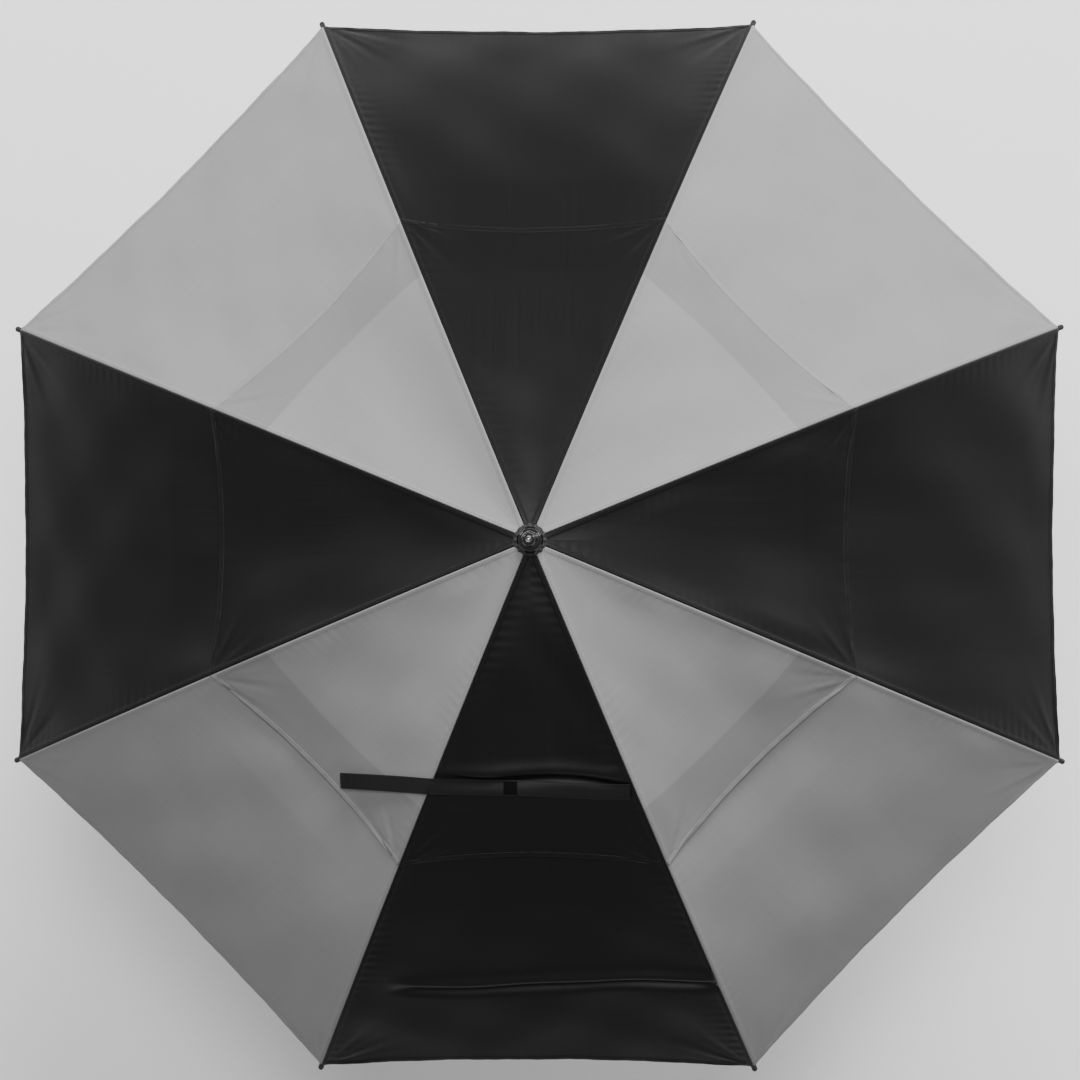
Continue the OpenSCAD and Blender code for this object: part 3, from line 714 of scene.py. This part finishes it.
def sew_gore(i, layer, material):
    """One layer of one gore: points closer together near the seams and rows slightly further apart
    at both ends, its flat coordinates in metres, and its distance from where the lower layer
    starts."""
    facts = layers[layer]
    rows = facts["rows"] * (2 if i == strap_gore else 1)
    v = np.sin(np.pi / 2 * np.linspace(-1, 1, facts["columns"]))[None, :]
    share = np.linspace(0, 1, rows)[:, None]
    share = share + 0.06 * np.sin(2 * np.pi * share) / (2 * np.pi)
    s = cloth_rows(layer, share, v)
    v = np.broadcast_to(v, s.shape)
    points = cloth_place(i, layer, s, v)
    flat = np.stack([v * across_width(s, 0), s], -1)
    faces = grid_faces(rows, facts["columns"])
    cloth = build_mesh(f"gore_{i}_{layer}_cloth", points, faces, material, uv=flat)
    inner_s = layers["lower"]["start"] + inner_bulge * (1 - v * v)
    past = (s - inner_s if layer == "upper" else np.full_like(s, -1.0)).astype(np.float32)
    # This distance is the mask for the painted shade where the two layers overlap.
    mark = cloth.data.attributes.new("past_inner_edge", "FLOAT", "POINT")
    mark.data.foreach_set("value", past.ravel())
    thick = cloth.modifiers.new("thickness", "SOLIDIFY")
    thick.thickness, thick.offset = cloth_thickness, 0
    made_final(cloth)
    goes_with_gore(cloth, i)
    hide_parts(f"gore_{i}")
    return cloth


hem_width = 0.0065
hem_half_thickness = 0.00042
hem_stations, hem_sides = 150, 14


def surface_directions(i, layer, s, v):
    """At points of a gore: the directions along it, across it and out of it, from small steps on
    its surface."""
    step = 1e-4
    along = cloth_place(i, layer, s + step, v) - cloth_place(i, layer, s - step, v)
    across = cloth_place(i, layer, s, v + step) - cloth_place(i, layer, s, v - step)
    along /= np.linalg.norm(along, axis=-1, keepdims=True)
    across /= np.linalg.norm(across, axis=-1, keepdims=True)
    out = np.cross(along, across)
    out /= np.linalg.norm(out, axis=-1, keepdims=True)
    return along, across, out


def sew_hem(i, layer, material):
    """A hem: the cloth's edge turned twice, a flat loop of cloth with rounded sides that follows
    the edge, slightly uneven in thickness."""
    facts = layers[layer]
    v = np.linspace(-1, 1, hem_stations)[:, None]
    turn = np.linspace(0, 2 * np.pi, hem_sides, endpoint=False)[None, :]
    inward = hem_width / 2 * (1 - np.sign(np.cos(turn)) * np.abs(np.cos(turn)) ** 0.6)
    edge = facts["end"] - hem_cut * (1 - v * v)
    s = edge + 0.0004 - inward
    v = np.broadcast_to(v, s.shape)
    _, _, out = surface_directions(i, layer, s, v)
    uneven = 1 + 0.15 * np.sin(v * 61 + i) + 0.1 * np.sin(v * 143 + 2 * i)
    thick = hem_half_thickness * uneven * np.sign(np.sin(turn)) * np.abs(np.sin(turn)) ** 0.6
    points = cloth_place(i, layer, s, v) + out * thick[..., None]
    flat = np.stack([v * across_width(s, 0), s], -1)
    faces = grid_faces(hem_stations, hem_sides, False, True)
    hem = build_mesh(f"gore_{i}_{layer}_hem", points, faces, material, uv=flat)
    goes_with_gore(hem, i)
    return hem


stitch_pitch = 0.0036
stitch_length = 0.0027
stitch_r = 0.00022
stitch_stations, stitch_sides = 5, 6


def stitch_mesh(name, place, along, out, material):
    """A row of stitches: each is a short thread with pointed ends, six-sided, pulled down into the
    cloth at both ends."""
    ring = np.linspace(0, 2 * np.pi, stitch_sides, endpoint=False)[None, :]
    station = np.linspace(-1, 1, stitch_stations)[:, None]
    girth = stitch_r * np.sqrt(np.maximum(0.03, 1 - station ** 4))
    a = np.broadcast_to(station * stitch_length / 2, (stitch_stations, stitch_sides))
    b = girth * np.cos(ring)
    c = girth * np.sin(ring) + stitch_r * (0.9 - 1.6 * station ** 4)
    side = np.cross(out, along)
    points = place[:, None, None, :] + a[None, ..., None] * along[:, None, None, :]
    points = points + b[None, ..., None] * side[:, None, None, :] + c[None, ..., None] * out[:, None, None, :]
    one = grid_faces(stitch_stations, stitch_sides, False, True)
    first = stitch_stations * stitch_sides * np.arange(len(place))[:, None, None]
    faces = (one[None] + first).reshape(-1, 4)
    return build_mesh(name, points, faces, material)


def thread_finish(name, colour):
    """Spun polyester thread: a fine uneven shade and grain, and a dull surface."""
    material, tree, shader = start_material(name)
    place = tree.nodes.new("ShaderNodeTexCoord").outputs["Object"]
    grain = stretched_noise(tree, place, 3000.0, (1, 1, 1), 2.0)
    uneven = mix_colour(tree, grain, colour, tuple(1.6 * c for c in colour))
    tree.links.new(uneven, shader.inputs["Base Color"])
    shader.inputs["Roughness"].default_value = 0.55
    shader.inputs["Specular IOR Level"].default_value = 0.25
    bump_from(tree, grain, 0.4, 0.0001, shader)
    return material


def stitch_gore(i, layer, material):
    """Lock stitches beside both seams, and along the hem at the edge of its fold."""
    facts = layers[layer]
    stand = cloth_thickness / 2
    start = facts["start"] + (0.02 if layer == "upper" else 0.002)
    s = np.arange(start, facts["end"] - 0.006, stitch_pitch)
    rows_s, rows_v = [], []
    for side in (-1, 1):
        rows_s.append(s)
        rows_v.append(side * (1 - 0.0032 / across_width(s, facts["lift"])))
    width = 2 * across_width(facts["end"], 0)
    v = np.arange(-0.975, 0.975, stitch_pitch / (width / 2))
    hem_s = facts["end"] - hem_cut * (1 - v * v) - hem_width + 0.001
    s_all = np.concatenate(rows_s + [hem_s])
    v_all = np.concatenate(rows_v + [v])
    place = cloth_place(i, layer, s_all, v_all)
    along, across, out = surface_directions(i, layer, s_all, v_all)
    hem_from = 2 * len(s)
    way = along.copy()
    way[hem_from:] = across[hem_from:]
    rise = np.full(len(s_all), stand)
    rise[hem_from:] = hem_half_thickness
    stitches = stitch_mesh(f"gore_{i}_{layer}_stitches", place + out * rise[:, None], way, out, material)
    goes_with_gore(stitches, i)


black_thread = thread_finish("thread_black", (0.007, 0.007, 0.0075))
grey_thread = thread_finish("thread_grey", (0.13, 0.13, 0.132))
for i in range(1, ribs + 1):
    black = i % 2 == 1
    cloth, thread = (black_cloth, black_thread) if black else (grey_cloth, grey_thread)
    for layer in layers:
        sew_gore(i, layer, cloth)
        sew_hem(i, layer, cloth)
        stitch_gore(i, layer, thread)

# ---------------------------------------------------------------------------------------------
# Tie strap: a folded strip of the black cloth, stitched down both edges and sewn in at a rib seam.
# It lies loose across two gores, its free end a little raised, with a hook-and-loop square on it.

strap_width = 0.018
strap_thickness = 0.0010
strap_y = -0.276
strap_from, strap_to = 0.108, -0.214
strap_length = strap_from - strap_to
strap_clear = 0.0024
strap_rise = 0.0085


def canopy_height(x, y):
    """Height of the upper cloth over a point: turned into its gore, the curve length is found from
    the radius by undoing the arc's sine, then its surface is read."""
    gore = np.round(np.arctan2(y, x) / gore_angle) * gore_angle
    forward = x * np.cos(gore) + y * np.sin(gore)
    side = y * np.cos(gore) - x * np.sin(gore)
    lift = layers["upper"]["lift"]
    s = np.full_like(forward, 0.2)
    for _ in range(12):
        over_rib = forward / np.cos(half_gore) - lift * np.sin(rib_slope(s))
        sine = (over_rib - hinge_r) / arc_radius + np.sin(crown_slope)
        s = (np.arcsin(sine) - crown_slope) * arc_radius
    v = np.clip(side / (forward * np.tan(half_gore)), -1, 1)
    number = np.round(gore / gore_angle).astype(int) % ribs + 1
    heights = np.stack([cloth_place(i, "upper", s, v)[..., 2] for i in range(1, ribs + 1)])
    return np.take_along_axis(heights, (number - 1)[None], 0)[0]


def strap_place(t, w, stand=0.0):
    """A point of the strap: t runs along it and w from edge to edge. Its middle line bends slightly
    towards the crown. It follows the cloth, eased over the rib by averaging the cloth's height over
    a short stretch, and rises with the cube of t."""
    t, w = np.broadcast_arrays(t, w)
    x = strap_from + (strap_to - strap_from) * t
    bend = 0.0035 * fade(t, 0.1, 0.4) + 0.007 * fade(t, 0.35, 1.1)
    y = strap_y + bend + w * strap_width / 2
    near = [canopy_height(x + d, y) for d in (-0.012, -0.006, 0.0, 0.006, 0.012)]
    z = np.maximum(np.mean(near, 0), near[2]) + strap_clear + strap_rise * t ** 3
    z = z + 0.0008 * np.sin(21 * t + 0.5) * fade(t, 0.05, 0.2) + 0.0005 * w * np.sin(13 * t)
    return np.stack([x, y, z + stand], -1)


def webbing_finish():
    """The strap's cloth: the woven group with coarser threads, over a deep matt black."""
    material, tree, shader = start_material("strap_cloth")
    group = tree.nodes.new("ShaderNodeGroup")
    group.node_tree = woven_cloth
    group.inputs["Colour"].default_value = (0.0065, 0.0065, 0.007, 1)
    group.inputs["Threads"].default_value = 900.0
    tree.links.new(group.outputs["Colour"], shader.inputs["Base Color"])
    tree.links.new(group.outputs["Roughness"], shader.inputs["Roughness"])
    shader.inputs["Specular IOR Level"].default_value = 0.3
    bump_from(tree, group.outputs["Height"], 0.3, 0.0003, shader)
    return material


strap_cloth = webbing_finish()
strap_stations = 160
section_points = 20
t = np.linspace(0, 1, strap_stations)[:, None]
turn = np.linspace(0, 2 * np.pi, section_points, endpoint=False)[None, :]
w = np.sign(np.cos(turn)) * np.abs(np.cos(turn)) ** 0.5
stand = strap_thickness / 2 * np.sign(np.sin(turn)) * np.abs(np.sin(turn)) ** 0.4
stand = stand + 0.00018 * np.sin(turn) * np.exp(-((np.abs(w) - 0.86) / 0.06) ** 2)
strap_points = strap_place(t, w) + np.stack([0 * stand, 0 * stand, stand], -1)
strap_flat = np.stack(np.broadcast_arrays(w * strap_width / 2, t * strap_length), -1)
strap_faces = grid_faces(strap_stations, section_points, False, True)
strap = build_mesh("tie_strap", strap_points, strap_faces, strap_cloth, uv=strap_flat)
ends = bmesh.new()
ends.from_mesh(strap.data)
bmesh.ops.holes_fill(ends, edges=[e for e in ends.edges if e.is_boundary], sides=0)
bmesh.ops.recalc_face_normals(ends, faces=ends.faces)
ends.to_mesh(strap.data)
ends.free()
goes_with_gore(strap, strap_gore)
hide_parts("closure_strap")

patch_at = 0.41
patch_half = 0.0075
patch_cells = 26
half_t = patch_half / strap_length
half_w = patch_half / (strap_width / 2)
grid = np.linspace(-1, 1, patch_cells)
a, b = np.meshgrid(grid, grid, indexing="ij")
rim = 1 - np.maximum(np.abs(a), np.abs(b)) ** 10
nap = 0.00016 * np.random.default_rng(41).random(a.shape)
top = strap_place(patch_at + half_t * a, half_w * b, strap_thickness / 2 + 0.0001)
top[..., 2] += 0.0011 * rim + nap
low = strap_place(patch_at + half_t * a, half_w * b, strap_thickness / 2 + 0.00005)
patch_points = np.concatenate([top.reshape(-1, 3), low.reshape(-1, 3)])
count = patch_cells * patch_cells
face = grid_faces(patch_cells, patch_cells)
index = np.arange(count).reshape(patch_cells, patch_cells)
border = np.concatenate([index[0, :-1], index[:-1, -1], index[-1, :0:-1], index[:0:-1, 0]])
around = np.stack([border, np.roll(border, -1), np.roll(border, -1) + count, border + count], -1)


def hook_finish():
    """Hook-and-loop tape: a dense nap of tiny loops, deep black."""
    material, tree, shader = start_material("hook_tape")
    place = tree.nodes.new("ShaderNodeTexCoord").outputs["Object"]
    loops = tree.nodes.new("ShaderNodeTexVoronoi")
    loops.inputs["Scale"].default_value = 1800.0
    tree.links.new(place, loops.inputs["Vector"])
    shade = mix_colour(tree, loops.outputs["Distance"], (0.0045, 0.0045, 0.0047), (0.001, 0.001, 0.001))
    tree.links.new(shade, shader.inputs["Base Color"])
    shader.inputs["Roughness"].default_value = 0.9
    shader.inputs["Specular IOR Level"].default_value = 0.15
    bump_from(tree, loops.outputs["Distance"], 0.9, 0.0006, shader)
    return material


patch_faces = np.concatenate([face, face[:, ::-1] + count, around])
patch = build_mesh("hook_and_loop_square", patch_points, patch_faces, hook_finish(), weld=True)
goes_with_gore(patch, strap_gore)
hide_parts("strap_patch")

# Thread on the strap: a row down each edge, and two rows across each end.
edge_t = np.arange(0.012, 0.985, stitch_pitch / strap_length)
cross_w = np.arange(-0.8, 0.81, stitch_pitch / (strap_width / 2))
across_at = (0.018, 0.05, 0.956, 0.978)
thread_t = np.concatenate([edge_t, edge_t] + [np.full(len(cross_w), at) for at in across_at])
edge_rows = [np.full(len(edge_t), way) for way in (0.84, -0.84)]
thread_w = np.concatenate(edge_rows + [cross_w] * len(across_at))
place = strap_place(thread_t, thread_w, strap_thickness / 2)
way = strap_place(thread_t + 1e-3, thread_w) - strap_place(thread_t - 1e-3, thread_w)
side = strap_place(thread_t, thread_w + 1e-2) - strap_place(thread_t, thread_w - 1e-2)
way /= np.linalg.norm(way, axis=-1, keepdims=True)
side /= np.linalg.norm(side, axis=-1, keepdims=True)
up = np.cross(side, way)
up *= np.sign(up[:, 2:])
lengthwise = 2 * len(edge_t)
run = np.where(np.arange(len(thread_t))[:, None] < lengthwise, way, side)
strap_thread = stitch_mesh("tie_strap_stitches", place, run, up, black_thread)
goes_with_gore(strap_thread, strap_gore)

# ---------------------------------------------------------------------------------------------
# Studio: a pale floor under the handle, which is clear from below so that the frame can be seen, a
# soft main light from the side away from the strap, one overhead and a weak one on each side.

floor_half, floor_drop = 6.0, 0.0005
floor_points = np.array([[-1, -1, 0], [1, -1, 0], [1, 1, 0], [-1, 1, 0]]) * floor_half - [0, 0, floor_drop]
floor_paint, floor_tree, floor_shader = start_material("floor_paint")
floor_place = floor_tree.nodes.new("ShaderNodeTexCoord").outputs["Object"]
floor_mottle = stretched_noise(floor_tree, floor_place, 3.0)
floor_colour = mix_colour(floor_tree, floor_mottle, (0.86, 0.86, 0.86), (0.9, 0.9, 0.9))
floor_tree.links.new(floor_colour, floor_shader.inputs["Base Color"])
floor_shader.inputs["Roughness"].default_value = 0.8
floor_clear = floor_tree.nodes.new("ShaderNodeBsdfTransparent")
floor_side = floor_tree.nodes.new("ShaderNodeNewGeometry")
floor_mix = floor_tree.nodes.new("ShaderNodeMixShader")
floor_tree.links.new(floor_side.outputs["Backfacing"], floor_mix.inputs[0])
floor_tree.links.new(floor_shader.outputs[0], floor_mix.inputs[1])
floor_tree.links.new(floor_clear.outputs[0], floor_mix.inputs[2])
floor_tree.links.new(floor_mix.outputs[0], floor_tree.nodes["Material Output"].inputs["Surface"])
floor = build_mesh("floor", floor_points, np.array([[0, 1, 2, 3]]), floor_paint, smooth=False)


def aim(thing, place, target):
    """Puts a lamp at a place, looking at a target."""
    thing.location = place
    look = np.array(target) - np.array(place)
    flat = np.hypot(look[0], look[1])
    turn = np.arctan2(look[0], -look[1]) if flat > 1e-6 else 0.0
    thing.rotation_euler = (np.arctan2(flat, -look[2]), 0, np.pi + turn)
    bpy.context.scene.collection.objects.link(thing)


def soft_light(name, place, target, size, watts, mirrored=True):
    """A square area lamp, which shiny surfaces can be set not to mirror."""
    lamp = bpy.data.lights.new(name, "AREA")
    lamp.size, lamp.energy = size, watts
    holder = bpy.data.objects.new(name, lamp)
    holder.visible_glossy = mirrored
    aim(holder, place, target)


canopy_middle = (0, 0, 0.75)
soft_light("main_light", (1.0, 4.4, 3.5), canopy_middle, 2.4, 560, mirrored=False)
soft_light("overhead_light", (0.1, 0.9, 5.2), canopy_middle, 1.3, 150)
soft_light("left_light", (-2.9, 2.2, 1.9), canopy_middle, 1.3, 30)
soft_light("right_light", (3.1, 2.0, 1.9), canopy_middle, 1.3, 42)

world = bpy.data.worlds.new("studio")
bpy.context.scene.world = world
world.use_nodes = True
world.node_tree.nodes["Background"].inputs["Color"].default_value = (1, 1, 1, 1)
world.node_tree.nodes["Background"].inputs["Strength"].default_value = 0.3

camera_place = (0.091, -0.054, 4.3)
camera_target = (0.003, 0.005, 0.611)
camera = bpy.data.objects.new("camera", bpy.data.cameras.new("camera"))
camera.data.lens = 104.3
camera.data.clip_end = 50
camera.location = camera_place
look = np.array(camera_target) - np.array(camera_place)
camera.rotation_euler = (-np.arctan2(-look[1], -look[2]), np.arctan2(-look[0], -look[2]), 0)
bpy.context.scene.collection.objects.link(camera)
bpy.context.scene.camera = camera

bpy.context.view_layer.update()
